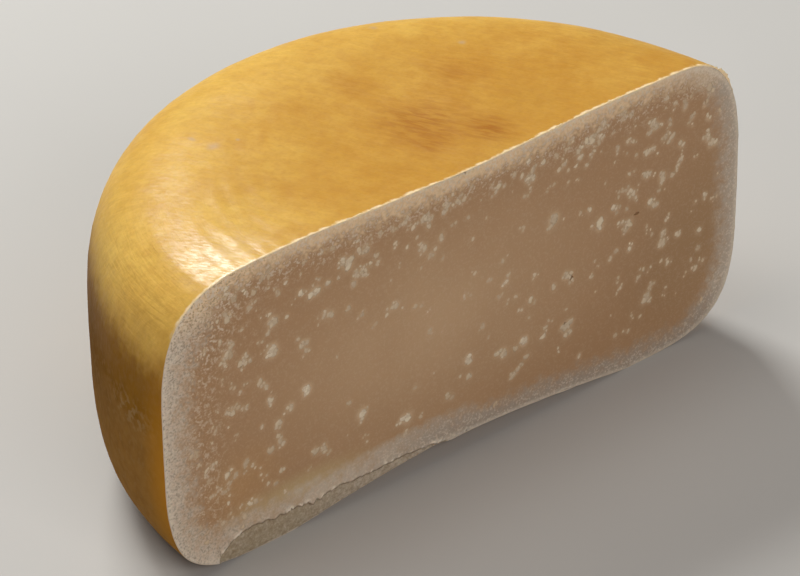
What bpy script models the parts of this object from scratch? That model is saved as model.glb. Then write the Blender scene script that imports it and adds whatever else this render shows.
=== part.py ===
"""Half of a hard, aged sheep milk cheese that stands on its underside.

Metres, +Z up. The knife's cut faces -Y, and the origin is the middle of the foot of its bounding box.
The wheel is first made in its own frame, with its axis on Z and the cut in the plane y = 0.
"""

import bmesh
import bpy
import numpy as np

# Names
COLLECTION_NAME = "sheep_milk_cheese"
CUTTER_COLLECTION_NAME = "cheese_cutters"
NODE_NAME = "cheese_half"

# Driving dimensions of the wheel
WHEEL_RADIUS = 0.125
RIM_HEIGHT = 0.112
WIDEST_HEIGHT = 0.051
SHOULDER_WIDTH = 0.0525
SHOULDER_POWER = 3.8
FOOT_WIDTH = 0.048
FOOT_POWER = 3.6
TOP_SINK = 0.0018
RING_WIDTH = 0.004
HOLLOW_DEPTH = 0.0064
HOLLOW_POWER = 1.6

# How far the aged wheel is from a true one
RIM_LEAN = 0.0004
LUMP_HEIGHT = 0.0004
BURR_HEIGHT = 0.0014
BURR_X = 0.108
BURR_SPREAD_X = 0.012
BURR_SPREAD_Y = 0.015

# How fine the solid is
TURN_STEPS = 48
TOP_POINTS = 6
ARC_POINTS = 15
HOLLOW_POINTS = 6

# Strip broken from the lower edge of the cut: (x, height of its ragged edge), left to right
CHIP_EDGE = (
    (-0.1050, 0.0074),
    (-0.0990, 0.0089),
    (-0.0920, 0.0103),
    (-0.0840, 0.0094),
    (-0.0780, 0.0081),
    (-0.0730, 0.0099),
    (-0.0660, 0.0084),
    (-0.0610, 0.0096),
    (-0.0400, 0.0106),
    (-0.0300, 0.0086),
    (-0.0240, 0.0095),
    (-0.0080, 0.0070),
)
CHIP_STATIONS = 44
CHIP_TEETH = 0.0005
CHIP_DEPTH_LEFT = 0.0007
CHIP_DEPTH_RIGHT = 0.0023
CHIP_LIP = 0.0006
CUT_CLEARANCE = 0.001

# Cracked holes in the cut: (x, z, width, height)
HOLES = (
    (0.0480, 0.0490, 0.0030, 0.0022),
    (0.0770, 0.0625, 0.0026, 0.0034),
    (0.0450, 0.0305, 0.0034, 0.0024),
    (-0.0930, 0.0750, 0.0024, 0.0030),
    (-0.0670, 0.0720, 0.0026, 0.0028),
)
HOLE_DEPTH = 0.0022

# Flake of coat torn up along the cut's upper right corner
FLAKE_START_X = 0.1110
FLAKE_END_X = 0.1210
FLAKE_DEPTH = 0.0035
FLAKE_RISE = 0.0011
FLAKE_ROOT = 0.0008
FLAKE_STATIONS = 9

# Looks of the solid
COAT_COLOUR = (0.60, 0.34, 0.075, 1.0)
COAT_ROUGHNESS = 0.35
PASTE_COLOUR = (0.30, 0.20, 0.12, 1.0)
PASTE_ROUGHNESS = 0.65
SMOOTH_ANGLE = np.radians(35.0)
SEED = 11


def clear_scene():
    for obj in list(bpy.data.objects):
        bpy.data.objects.remove(obj, do_unlink=True)


def new_collection(name):
    collection = bpy.data.collections.new(name)
    bpy.context.scene.collection.children.link(collection)
    return collection


def make_material(name, colour, roughness):
    material = bpy.data.materials.new(name)
    material.use_nodes = True
    shader = material.node_tree.nodes["Principled BSDF"]
    shader.inputs["Base Color"].default_value = colour
    shader.inputs["Roughness"].default_value = roughness
    shader.inputs["Metallic"].default_value = 0.0
    return material


def object_from_bmesh(bm, name, collection, materials, material_index=0):
    """Puts the bmesh into a new object, with every face on one of its materials."""
    for face in bm.faces:
        face.material_index = material_index
    mesh = bpy.data.meshes.new(name)
    bm.to_mesh(mesh)
    bm.free()
    for material in materials:
        mesh.materials.append(material)
    obj = bpy.data.objects.new(name, mesh)
    collection.objects.link(obj)
    return obj


def smooth_step(value):
    """0 below 0, 1 above 1, and a smooth S between them."""
    clipped = np.clip(value, 0.0, 1.0)
    return clipped * clipped * (3.0 - 2.0 * clipped)


def quarter_arc(power, count):
    """Points of the superellipse |u|^power + |v|^power = 1 from (0, 1) to (1, 0)."""
    angle = np.linspace(0.0, np.pi / 2.0, count)
    size = (np.sin(angle) ** power + np.cos(angle) ** power) ** (1.0 / power)
    return np.sin(angle) / size, np.cos(angle) / size


def top_outline():
    """The slightly sunken top, from the axis to where the shoulder starts."""
    edge = WHEEL_RADIUS - SHOULDER_WIDTH
    radius = np.linspace(0.0, edge, TOP_POINTS)
    height = RIM_HEIGHT - TOP_SINK * (1.0 - (radius / edge) ** 2) ** 2
    return np.column_stack([radius, height])


def shoulder_outline():
    across, up = quarter_arc(SHOULDER_POWER, ARC_POINTS)
    radius = WHEEL_RADIUS - SHOULDER_WIDTH * (1.0 - across)
    height = WIDEST_HEIGHT + (RIM_HEIGHT - WIDEST_HEIGHT) * up
    return np.column_stack([radius, height])


def foot_outline():
    down, across = quarter_arc(FOOT_POWER, ARC_POINTS)
    radius = WHEEL_RADIUS - FOOT_WIDTH * (1.0 - across)
    height = WIDEST_HEIGHT * (1.0 - down)
    return np.column_stack([radius, height])


def hollow_outline():
    """The hollow underside, from the inner edge of the flat ring that it stands on to the axis."""
    edge = WHEEL_RADIUS - FOOT_WIDTH - RING_WIDTH
    radius = np.linspace(edge, 0.0, HOLLOW_POINTS)
    height = HOLLOW_DEPTH * (1.0 - (radius / edge) ** HOLLOW_POWER)
    return np.column_stack([radius, height])


def wheel_outline():
    """(radius, height) of half a section, down its outer side from the top's middle to the underside's."""
    pieces = [top_outline(), shoulder_outline()[1:], foot_outline()[1:], hollow_outline()]
    return np.vstack(pieces)


def turn_half_wheel(collection, materials):
    """Turns the outline half round with a Screw modifier and returns the open shell as a mesh object."""
    outline = wheel_outline()
    bm = bmesh.new()
    points = [bm.verts.new((radius, 0.0, height)) for radius, height in outline]
    for upper, lower in zip(points, points[1:]):
        bm.edges.new((upper, lower))
    profile = object_from_bmesh(bm, "profile", collection, materials)
    screw = profile.modifiers.new("half_turn", "SCREW")
    screw.axis = "Z"
    screw.angle = np.pi
    screw.steps = TURN_STEPS
    screw.render_steps = TURN_STEPS
    screw.use_merge_vertices = True
    screw.merge_threshold = 0.00001
    screw.use_smooth_shade = False
    evaluated = profile.evaluated_get(bpy.context.evaluated_depsgraph_get())
    mesh = bpy.data.meshes.new_from_object(evaluated)
    mesh.name = NODE_NAME
    bpy.data.objects.remove(profile, do_unlink=True)
    half = bpy.data.objects.new(NODE_NAME, mesh)
    collection.objects.link(half)
    return half


def close_cut(half):
    """Fills the open plane of the cut with paste and turns all faces outwards."""
    bm = bmesh.new()
    bm.from_mesh(half.data)
    open_edges = [edge for edge in bm.edges if edge.is_boundary]
    filled = bmesh.ops.contextual_create(bm, geom=open_edges)
    for face in filled["faces"]:
        face.material_index = 1
    bmesh.ops.recalc_face_normals(bm, faces=bm.faces)
    bm.to_mesh(half.data)
    bm.free()


def aged_height(x, y, z):
    """How far a point of the true wheel has risen: a lean, soft lumps on top, and a burr at one corner."""
    high = smooth_step((z / RIM_HEIGHT - 0.45) / 0.55)
    lean = RIM_LEAN * x / WHEEL_RADIUS * smooth_step(z / RIM_HEIGHT)
    turn = np.arctan2(y, x)
    lumps = LUMP_HEIGHT * np.sin(2.0 * turn + 0.6) * np.sin(np.hypot(x, y) / 0.021) * high
    reach = ((x - BURR_X) / BURR_SPREAD_X) ** 2 + (y / BURR_SPREAD_Y) ** 2
    return lean + lumps + BURR_HEIGHT * np.exp(-reach) * high


def age_wheel(half):
    """Moves the true wheel's vertices to the aged shape. The flat ring at z = 0 stays flat."""
    mesh = half.data
    flat = np.empty(len(mesh.vertices) * 3, dtype=np.float32)
    mesh.vertices.foreach_get("co", flat)
    points = flat.reshape(-1, 3).astype(float)
    points[:, 2] += aged_height(points[:, 0], points[:, 1], points[:, 2])
    mesh.vertices.foreach_set("co", points.astype(np.float32).ravel())
    mesh.update()


def loft(bm, sections):
    """Joins closed sections of equal length in order and closes both ends."""
    rings = [[bm.verts.new(point) for point in section] for section in sections]
    count = len(rings[0])
    for near, far in zip(rings, rings[1:]):
        for i in range(count):
            j = (i + 1) % count
            bm.faces.new((near[i], near[j], far[j], far[i]))
    bm.faces.new(rings[0])
    bm.faces.new(rings[-1])
    bmesh.ops.recalc_face_normals(bm, faces=bm.faces)


def mark_cutter(obj):
    obj.hide_render = True
    obj.display_type = "WIRE"


def chip_cutter(collection, materials):
    """A wedge behind the lower edge of the cut, with a ragged upper edge, deeper to the right."""
    rng = np.random.default_rng(SEED)
    edge = np.array(CHIP_EDGE)
    stations = np.linspace(edge[0, 0], edge[-1, 0], CHIP_STATIONS)
    tops = np.interp(stations, edge[:, 0], edge[:, 1])
    tops = tops + CHIP_TEETH * rng.uniform(-1.0, 1.0, CHIP_STATIONS)
    depths = np.linspace(CHIP_DEPTH_LEFT, CHIP_DEPTH_RIGHT, CHIP_STATIONS)
    sections = []
    for x, top, depth in zip(stations, tops, depths):
        sections.append(
            [
                (x, -CUT_CLEARANCE, top),
                (x, depth * 0.5, top - CHIP_LIP * 0.2),
                (x, depth, top - CHIP_LIP),
                (x, depth, -CUT_CLEARANCE),
                (x, -CUT_CLEARANCE, -CUT_CLEARANCE),
            ]
        )
    bm = bmesh.new()
    loft(bm, sections)
    cutter = object_from_bmesh(bm, "chip_cutter", collection, materials, material_index=1)
    mark_cutter(cutter)
    return cutter


def hole_cutters(collection, materials):
    """Small rough balls that dig the cracked holes of the cut."""
    rng = np.random.default_rng(SEED + 1)
    cutters = []
    for number, (x, z, width, height) in enumerate(HOLES):
        bm = bmesh.new()
        bmesh.ops.create_icosphere(bm, subdivisions=2, radius=1.0)
        for vertex in bm.verts:
            rough = rng.uniform(0.78, 1.12)
            vertex.co.x = x + vertex.co.x * width * 0.5 * rough
            vertex.co.y = vertex.co.y * HOLE_DEPTH * rough
            vertex.co.z = z + vertex.co.z * height * 0.5 * rough
        name = f"hole_cutter_{number}"
        cutter = object_from_bmesh(bm, name, collection, materials, material_index=1)
        mark_cutter(cutter)
        cutters.append(cutter)
    return cutters


def shoulder_height(x):
    """Height of the aged shoulder over the cut at x."""
    across = (x - WHEEL_RADIUS + SHOULDER_WIDTH) / SHOULDER_WIDTH
    up = (1.0 - across**SHOULDER_POWER) ** (1.0 / SHOULDER_POWER)
    height = WIDEST_HEIGHT + (RIM_HEIGHT - WIDEST_HEIGHT) * up
    return height + aged_height(x, 0.0, height)


def corner_flake(collection, materials):
    """A curled strip that lifts from the shoulder at the cut and runs back into it."""
    sections = []
    for x in np.linspace(FLAKE_START_X, FLAKE_END_X, FLAKE_STATIONS):
        slope = (shoulder_height(x + 0.0002) - shoulder_height(x - 0.0002)) / 0.0004
        normal = np.array([-slope, 0.0, 1.0]) / np.hypot(slope, 1.0)
        base = np.array([x, 0.0, shoulder_height(x)])
        place = (x - FLAKE_START_X) / (FLAKE_END_X - FLAKE_START_X)
        rise = FLAKE_RISE * np.sin(np.pi * (0.12 + 0.76 * place))
        back = np.array([0.0, FLAKE_DEPTH, 0.0])
        sections.append(
            [
                tuple(base + normal * rise + back * 0.02),
                tuple(base + normal * rise * 0.8 + back * 0.2),
                tuple(base - normal * FLAKE_ROOT + back),
                tuple(base - normal * FLAKE_ROOT + back * 0.02),
            ]
        )
    bm = bmesh.new()
    loft(bm, sections)
    flake = object_from_bmesh(bm, "corner_flake", collection, materials, material_index=0)
    mark_cutter(flake)
    return flake


def add_boolean(target, other, operation):
    boolean = target.modifiers.new(other.name, "BOOLEAN")
    boolean.operation = operation
    boolean.solver = "EXACT"
    boolean.object = other


def apply_modifiers(obj):
    """Makes the evaluated shape the object's own mesh."""
    evaluated = obj.evaluated_get(bpy.context.evaluated_depsgraph_get())
    shaped = bpy.data.meshes.new_from_object(evaluated)
    old = obj.data
    obj.modifiers.clear()
    obj.data = shaped
    bpy.data.meshes.remove(old)
    shaped.name = obj.name


def centre_on_origin(obj):
    """Moves the mesh so that the middle of its bounding box's foot is the origin."""
    mesh = obj.data
    flat = np.empty(len(mesh.vertices) * 3, dtype=np.float32)
    mesh.vertices.foreach_get("co", flat)
    points = flat.reshape(-1, 3).astype(float)
    low = points.min(axis=0)
    middle = (low + points.max(axis=0)) / 2.0
    points -= np.array([middle[0], middle[1], low[2]])
    mesh.vertices.foreach_set("co", points.astype(np.float32).ravel())
    mesh.update()


def shade(obj):
    obj.data.shade_smooth()
    obj.data.set_sharp_from_angle(angle=SMOOTH_ANGLE)


def build():
    clear_scene()
    collection = new_collection(COLLECTION_NAME)
    cutters = new_collection(CUTTER_COLLECTION_NAME)
    coat = make_material("cheese_coat", COAT_COLOUR, COAT_ROUGHNESS)
    paste = make_material("cheese_paste", PASTE_COLOUR, PASTE_ROUGHNESS)
    materials = (coat, paste)
    half = turn_half_wheel(collection, materials)
    close_cut(half)
    age_wheel(half)
    add_boolean(half, corner_flake(cutters, materials), "UNION")
    add_boolean(half, chip_cutter(cutters, materials), "DIFFERENCE")
    for cutter in hole_cutters(cutters, materials):
        add_boolean(half, cutter, "DIFFERENCE")
    apply_modifiers(half)
    for tool in list(cutters.objects):
        bpy.data.objects.remove(tool, do_unlink=True)
    centre_on_origin(half)
    shade(half)


build()
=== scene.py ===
"""Looks of half a hard, aged sheep milk cheese: its glossy yellow coat, its dry cut and its crystals."""

import math

import bmesh
import bpy
import numpy as np
from mathutils import Matrix, Vector


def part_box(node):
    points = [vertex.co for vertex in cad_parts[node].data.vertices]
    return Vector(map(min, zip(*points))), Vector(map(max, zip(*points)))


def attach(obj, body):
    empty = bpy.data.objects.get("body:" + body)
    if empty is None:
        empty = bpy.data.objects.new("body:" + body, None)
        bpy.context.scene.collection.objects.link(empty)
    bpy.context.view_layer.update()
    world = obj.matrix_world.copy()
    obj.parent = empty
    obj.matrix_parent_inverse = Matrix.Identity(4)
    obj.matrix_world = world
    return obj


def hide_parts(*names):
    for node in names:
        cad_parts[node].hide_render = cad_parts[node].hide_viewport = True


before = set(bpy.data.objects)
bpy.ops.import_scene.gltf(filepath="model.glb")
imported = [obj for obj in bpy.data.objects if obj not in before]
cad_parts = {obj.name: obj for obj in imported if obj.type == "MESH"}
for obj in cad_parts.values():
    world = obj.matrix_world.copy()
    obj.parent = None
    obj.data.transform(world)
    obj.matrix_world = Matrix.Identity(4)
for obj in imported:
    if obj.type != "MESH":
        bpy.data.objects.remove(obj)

MM = 0.001
BODY = "root"
NODE = "cheese_half"
RIPPLE_COUNT = 20

# Frame of the wheel: its axis stands in the plane of the cut
NODE_LOW, NODE_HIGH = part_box(NODE)
AXIS = np.array([(NODE_LOW[0] + NODE_HIGH[0]) / 2, NODE_LOW[1], NODE_LOW[2]])
WHEEL_RADIUS = (NODE_HIGH[0] - NODE_LOW[0]) / 2

# Section of the wheel
RIM_HEIGHT = 112.0 * MM
WIDEST_HEIGHT = 51.0 * MM
SHOULDER_WIDTH = 52.5 * MM
SHOULDER_POWER = 3.8
FOOT_WIDTH = 48.0 * MM
FOOT_POWER = 3.6
TOP_SINK = 1.8 * MM
RING_WIDTH = 4.0 * MM
HOLLOW_DEPTH = 6.4 * MM
HOLLOW_POWER = 1.6

# How far the aged wheel is from a true one
RIM_LEAN = 0.4 * MM
LUMP_HEIGHT = 0.4 * MM
BURR_HEIGHT = 1.4 * MM
BURR_X = 108.0 * MM
BURR_SPREAD_X = 12.0 * MM
BURR_SPREAD_Y = 15.0 * MM

# Coat
COAT_THICKNESS = 0.4 * MM
COAT_TURN_ROWS = 250
COAT_INNER_ROWS = 24
COAT_TOP_SPACING = 0.80 * MM
COAT_UNDER_SPACING = 3.2 * MM
TURN_CROWDING = 0.75
WAVE_HEIGHT = 0.10 * MM
WAVE_LENGTH = 30.0 * MM
SHORT_WAVE_HEIGHT = 0.030 * MM
SHORT_WAVE_LENGTH = 7.0 * MM
WRINKLE_HEIGHT = 0.085 * MM
WRINKLE_LENGTH = 4.2 * MM
WRINKLE_CENTRE = np.array([-98.0, 22.0, 96.0]) * MM
WRINKLE_REACH = 34.0 * MM
WRINKLE_TURN = 13.0
BRUSH_TURN = math.radians(62.0)
LIP_PROUD = 0.04 * MM
LIP_RAGGED = 0.30 * MM
LIP_RISE = 0.60 * MM
LIP_RUNS = ((-79.0, 5.0), (-53.0, 9.0), (-40.0, 5.0), (-22.0, 4.0), (48.0, 20.0))
FLAKE_RISE = 1.5 * MM
FLAKE_START = 110.5 * MM
FLAKE_LENGTH = 10.5 * MM
FLAKE_DEPTH = 1.8 * MM

# Height from which the lip of the coat rises, and over how much it comes to its full rise, in millimetres
LIP_TOP_BAND = (96.0, 8.0)

# Paste
PASTE_INSET = 0.15 * MM
PASTE_BACK_INSET = 1.2 * MM
PASTE_COLUMN_SPACING = 0.62 * MM
PASTE_FOOT_ROWS = 32
PASTE_UPPER_ROWS = 118
PASTE_BACK_ROWS = 22
FOOT_BAND = 9.0 * MM
KNIFE_WAVE = 0.12 * MM
KNIFE_LENGTH = 22.0 * MM
FINE_CRUMB = 0.025 * MM

# Strip broken from the lower edge of the cut: (x, height of its ragged edge), left to right
CHIP_EDGE = np.array(
    [
        (-105.0, 4.4),
        (-102.0, 7.4),
        (-98.0, 9.8),
        (-91.0, 10.8),
        (-84.0, 9.8),
        (-78.0, 9.2),
        (-73.0, 9.6),
        (-66.0, 8.4),
        (-61.0, 9.0),
        (-55.0, 10.1),
        (-44.0, 8.9),
        (-33.0, 9.1),
        (-24.0, 8.9),
        (-8.0, 7.0),
    ]
) * MM
CHIP_TEETH = 0.4 * MM
CHIP_TORN_X = -71.0 * MM
CHIP_TORN_REACH = 13.0 * MM
CHIP_DEPTH_LEFT = 0.9 * MM
CHIP_DEPTH_RIGHT = 2.3 * MM
CHIP_STEP = 0.55
CHIP_SLOPE_HEIGHT = 9.0 * MM
CHIP_UNDERCUT = 1.1 * MM
CHIP_UNDERCUT_HEIGHT = 0.7 * MM
CHIP_LIP = 0.9 * MM
CHIP_LIP_HEIGHT = 0.9 * MM
# How far the painted shadow line reaches below the broken strip's edge
SHADOW_LINE_HEIGHT = 0.6 * MM

# Cracked holes in the cut: (x, z, width, height)
HOLES = (
    (47.3, 49.0, 1.5, 1.7),
    (77.0, 62.8, 2.3, 1.1),
    (44.7, 31.2, 1.5, 1.7),
    (-93.3, 75.2, 1.3, 1.9),
    (-68.0, 72.3, 1.2, 1.0),
)
HOLE_DEPTH = 1.3 * MM

# Clusters of crystals that stand out on the cut: (x, z, length, tilt in degrees, flecks, brightness)
CLUSTERS = (
    (-99.6, 79.5, 3.4, 100, 7, 0.45),
    (-92.5, 76.2, 5.0, 60, 8, 0.50),
    (-81.2, 75.5, 3.6, 60, 8, 0.80),
    (-63.2, 89.5, 2.4, -20, 5, 0.90),
    (-51.0, 96.5, 4.4, -22, 6, 0.75),
    (-45.0, 90.0, 9.5, 17, 9, 0.45),
    (-82.0, 86.0, 4.6, 0, 7, 0.45),
    (-67.8, 53.8, 3.4, 95, 9, 1.00),
    (-75.2, 50.0, 2.6, 10, 4, 0.60),
    (-78.8, 41.5, 11.0, 92, 11, 0.40),
    (-44.8, 33.0, 3.6, 85, 7, 0.95),
    (-104.5, 31.0, 4.2, 15, 6, 0.40),
    (-97.2, 58.8, 4.6, -15, 6, 0.55),
    (-84.5, 63.0, 5.5, 120, 7, 0.40),
    (-107.0, 41.8, 5.0, 10, 5, 0.55),
    (-61.0, 28.5, 5.0, 95, 6, 0.45),
    (-9.0, 98.8, 3.6, 60, 7, 0.45),
    (-17.2, 98.8, 3.8, 15, 5, 0.55),
    (-18.5, 88.5, 4.0, 90, 6, 0.45),
    (15.0, 98.0, 3.6, -10, 5, 0.45),
    (28.5, 96.2, 5.0, 20, 7, 0.60),
    (-32.0, 70.3, 4.6, 20, 6, 0.45),
    (17.6, 59.6, 2.2, 50, 3, 0.95),
    (0.5, 36.6, 3.2, -75, 6, 0.90),
    (-26.5, 24.4, 4.8, 0, 8, 0.95),
    (26.2, 32.5, 3.2, 80, 7, 0.85),
    (15.6, 32.0, 3.8, -35, 6, 0.55),
    (23.5, 23.0, 8.0, 40, 12, 0.40),
    (38.5, 75.0, 4.4, 60, 9, 0.35),
    (45.0, 30.3, 4.6, 0, 9, 0.45),
    (45.5, 50.2, 5.0, -30, 7, 0.45),
    (72.0, 60.5, 5.5, -25, 8, 0.50),
    (74.2, 51.0, 1.8, 0, 3, 0.95),
    (59.2, 65.0, 1.8, -5, 2, 1.00),
    (75.5, 70.5, 4.6, -60, 6, 0.50),
    (82.0, 76.5, 6.0, -25, 10, 0.60),
    (88.3, 72.5, 5.0, -75, 8, 0.45),
    (85.0, 64.2, 4.4, -40, 6, 0.50),
    (81.8, 85.8, 4.6, 0, 9, 0.40),
    (84.8, 95.2, 4.6, -30, 7, 0.50),
    (96.5, 75.5, 5.0, 70, 7, 0.50),
    (110.3, 80.0, 6.5, 100, 7, 0.45),
    (90.0, 46.2, 4.0, 35, 6, 0.45),
    (83.5, 25.5, 5.4, 115, 8, 0.40),
    (53.5, 100.2, 4.6, 22, 5, 0.50),
    (-68.2, 72.4, 2.6, 20, 6, 0.45),
)
CLUSTER_SPREAD = 0.65
CLUSTER_FILL = 1.35
SEED_TRIES = 1300
FLECK_WIDTH = 1.5
FLECK_WIDTH_SPREAD = 0.32
HALO_REACH = 0.62
CRYSTAL_SIDES = 9
CRYSTAL_ROOT = 0.3 * MM

# Rings of a crystal's low dome: share of its half width, depth in millimetres
CRYSTAL_RINGS = ((0.0, -0.09), (0.55, -0.07), (1.0, 0.05))

# Camera
IMAGE_WIDTH = 800
FOCAL_PIXELS = 3641.0
SENSOR_WIDTH = 36.0
CAMERA_AZIMUTH = math.radians(-39.13)
CAMERA_ELEVATION = math.radians(32.96)
CAMERA_ROLL = math.radians(-0.80)
CAMERA_DISTANCE = 1262.0 * MM
CAMERA_TARGET = AXIS + np.array([12.6, 50.0, 34.9]) * MM

# Floor and lights: (name, direction, distance, size, power, colour)
FLOOR_SIDES = 64
FLOOR_RADIUS = 3.0
LIGHT_TARGET = AXIS + np.array([0.0, 45.0, 60.0]) * MM
LIGHTS = (
    ("back_key", (0.18, 0.71, 0.67), 1.5, (0.62, 0.40), 19.0, (0.96, 0.97, 0.96)),
    ("left_soft", (-0.35, 0.20, 1.0), 1.6, (0.8, 0.8), 7.0, (1.0, 0.97, 0.93)),
    ("front_fill", (-0.25, -1.0, 0.60), 2.0, (1.4, 1.0), 15.5, (1.0, 0.97, 0.95)),
)
WORLD_COLOUR = (0.90, 0.94, 1.0, 1.0)
WORLD_STRENGTH = 0.12


def smooth_step(value):
    """0 below 0, 1 above 1, and a smooth S between them."""
    clipped = np.clip(value, 0.0, 1.0)
    return clipped * clipped * (3.0 - 2.0 * clipped)


def ramp(place, start, length):
    """Smooth S from 0 at start to 1 at start + length, both in millimetres. A negative length runs back."""
    return smooth_step((place / MM - start) / length)


def ripples(points, wavelength, seed):
    """Sum of sine waves in random directions, each about a wavelength long, scaled to about -1 to 1."""
    rng = np.random.default_rng(seed)
    direction = rng.normal(size=(RIPPLE_COUNT, 3))
    direction /= np.linalg.norm(direction, axis=1, keepdims=True)
    length = wavelength * rng.uniform(0.7, 1.5, RIPPLE_COUNT)
    phase = rng.uniform(0.0, 2.0 * np.pi, RIPPLE_COUNT)
    waves = np.sin(points @ (direction / length[:, None]).T * 2.0 * np.pi + phase)
    return waves.sum(axis=-1) / math.sqrt(RIPPLE_COUNT)


def on_cut(x, z):
    """Points (x, 0, z) in the plane of the cut."""
    return np.stack([x, np.zeros_like(x), z], axis=-1)


def quarter_arc(power, count):
    """Points of the superellipse |u|^power + |v|^power = 1 from (0, 1) to (1, 0)."""
    angle = np.linspace(0.0, np.pi / 2.0, count)
    size = (np.sin(angle) ** power + np.cos(angle) ** power) ** (1.0 / power)
    return np.sin(angle) / size, np.cos(angle) / size


def wheel_outline():
    """(radius, height) of half a section, down its outer side from the top's middle to the underside's.

    Top: rim height less a sink that fades to nothing at the shoulder. Shoulder and foot: superellipse
    arcs that meet at the widest height. Underside: a flat ring, then a hollow that rises to the axis.
    """
    count = 400
    top_edge = WHEEL_RADIUS - SHOULDER_WIDTH
    top_radius = np.linspace(0.0, top_edge, count)
    top_height = RIM_HEIGHT - TOP_SINK * (1.0 - (top_radius / top_edge) ** 2) ** 2
    across, up = quarter_arc(SHOULDER_POWER, count)
    shoulder_radius = WHEEL_RADIUS - SHOULDER_WIDTH * (1.0 - across)
    shoulder_height = WIDEST_HEIGHT + (RIM_HEIGHT - WIDEST_HEIGHT) * up
    down, across = quarter_arc(FOOT_POWER, count)
    foot_radius = WHEEL_RADIUS - FOOT_WIDTH * (1.0 - across)
    foot_height = WIDEST_HEIGHT * (1.0 - down)
    ring_edge = WHEEL_RADIUS - FOOT_WIDTH - RING_WIDTH
    hollow_radius = np.linspace(ring_edge, 0.0, count)
    hollow_height = HOLLOW_DEPTH * (1.0 - (hollow_radius / ring_edge) ** HOLLOW_POWER)
    radius = np.concatenate([top_radius, shoulder_radius[1:], foot_radius[1:], hollow_radius])
    height = np.concatenate([top_height, shoulder_height[1:], foot_height[1:], hollow_height])
    return np.column_stack([radius, height])


def arc_length(outline):
    """Distance along the outline from its first point to each of its points."""
    steps = np.linalg.norm(np.diff(outline, axis=0), axis=1)
    return np.concatenate([[0.0], np.cumsum(steps)])


def outline_at(outline, lengths):
    """Points of the outline at the given distances along it."""
    along = arc_length(outline)
    radius = np.interp(lengths, along, outline[:, 0])
    height = np.interp(lengths, along, outline[:, 1])
    return np.column_stack([radius, height])


def outline_normals(outline):
    """Outward unit normals: the tangent turned a quarter left."""
    tangent = np.gradient(outline, axis=0)
    normal = np.column_stack([-tangent[:, 1], tangent[:, 0]])
    normal /= np.linalg.norm(normal, axis=1, keepdims=True)
    normal[0] = (0.0, 1.0)
    normal[-1] = (0.0, -1.0)
    return normal


def pulled_in(outline, depth):
    """The outline moved inwards along its normals, never past the axis."""
    inner = outline - outline_normals(outline) * depth
    inner[:, 0] = np.clip(inner[:, 0], 0.0, None)
    return inner


def aged_height(points):
    """How far a point of the true wheel has risen: a lean, soft lumps on top, and a burr at one corner."""
    x, y, z = points[..., 0], points[..., 1], points[..., 2]
    high = smooth_step((z / RIM_HEIGHT - 0.45) / 0.55)
    lean = RIM_LEAN * x / WHEEL_RADIUS * smooth_step(z / RIM_HEIGHT)
    turn = np.arctan2(y, x)
    lumps = LUMP_HEIGHT * np.sin(2.0 * turn + 0.6) * np.sin(np.hypot(x, y) / 0.021) * high
    reach = ((x - BURR_X) / BURR_SPREAD_X) ** 2 + (y / BURR_SPREAD_Y) ** 2
    return lean + lumps + BURR_HEIGHT * np.exp(-reach) * high


def aged(points):
    """The true wheel's points moved to the aged wheel's places."""
    moved = points.copy()
    moved[..., 2] += aged_height(points)
    return moved


def turned(outline, turns):
    """Each outline point swung about the axis by each turn: (r cos t, r sin t, z), one row a turn."""
    radius, height = outline[:, 0], outline[:, 1]
    x = radius[None, :] * np.cos(turns)[:, None]
    y = radius[None, :] * np.sin(turns)[:, None]
    z = np.broadcast_to(height, x.shape)
    return np.stack([x, y, z], axis=-1)


def chip_edge_height(x):
    """Height of the broken strip's upper edge: straight runs between its named points, plus fine teeth."""
    along = on_cut(x, np.zeros_like(x))
    torn = 0.7 + 0.9 * np.exp(-(((x - CHIP_TORN_X) / CHIP_TORN_REACH) ** 2))
    teeth = CHIP_TEETH * torn * (ripples(along, 2.6 * MM, seed=5) + 0.5 * ripples(along, 1.1 * MM, seed=7))
    return np.interp(x, CHIP_EDGE[:, 0], CHIP_EDGE[:, 1]) + teeth


def chip_reach(x):
    """1 where the strip is broken out, 0 beyond its two ends."""
    left = smooth_step((x - CHIP_EDGE[0, 0]) / (0.8 * MM))
    right = smooth_step((CHIP_EDGE[-1, 0] - x) / (3.0 * MM))
    return left * right


def chip_depth(x, z):
    """Depth of the broken strip behind the cut: a groove under its edge, then a slope to the foot."""
    below = chip_edge_height(x) - z
    share = (x - CHIP_EDGE[0, 0]) / (CHIP_EDGE[-1, 0] - CHIP_EDGE[0, 0])
    full = CHIP_DEPTH_LEFT + (CHIP_DEPTH_RIGHT - CHIP_DEPTH_LEFT) * np.clip(share, 0.0, 1.0)
    slope = CHIP_STEP + (1.0 - CHIP_STEP) * np.clip(below / CHIP_SLOPE_HEIGHT, 0.0, 1.0)
    groove = CHIP_UNDERCUT * np.exp(-np.clip(below, 0.0, None) / CHIP_UNDERCUT_HEIGHT)
    return (full * slope + groove) * (below > 0.001 * MM) * chip_reach(x)


def chip_lip(x, z):
    """Torn crumbs that stand proud of the cut just above the broken strip."""
    above = z - chip_edge_height(x)
    torn = np.clip(ripples(on_cut(x, z), 2.2 * MM, seed=6), 0.0, 1.5)
    fading = np.exp(-np.clip(above, 0.0, None) / CHIP_LIP_HEIGHT)
    return CHIP_LIP * torn * fading * (above > 0.0) * chip_reach(x)


def grid_quads(rows, columns):
    """Corner numbers of the quads of a grid whose points are numbered row by row."""
    first = np.arange((rows - 1) * (columns - 1))
    corner = first // (columns - 1) * columns + first % (columns - 1)
    return np.column_stack([corner, corner + 1, corner + columns + 1, corner + columns])


def new_object(name, data):
    obj = bpy.data.objects.new(name, data)
    bpy.context.scene.collection.objects.link(obj)
    return obj


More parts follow.
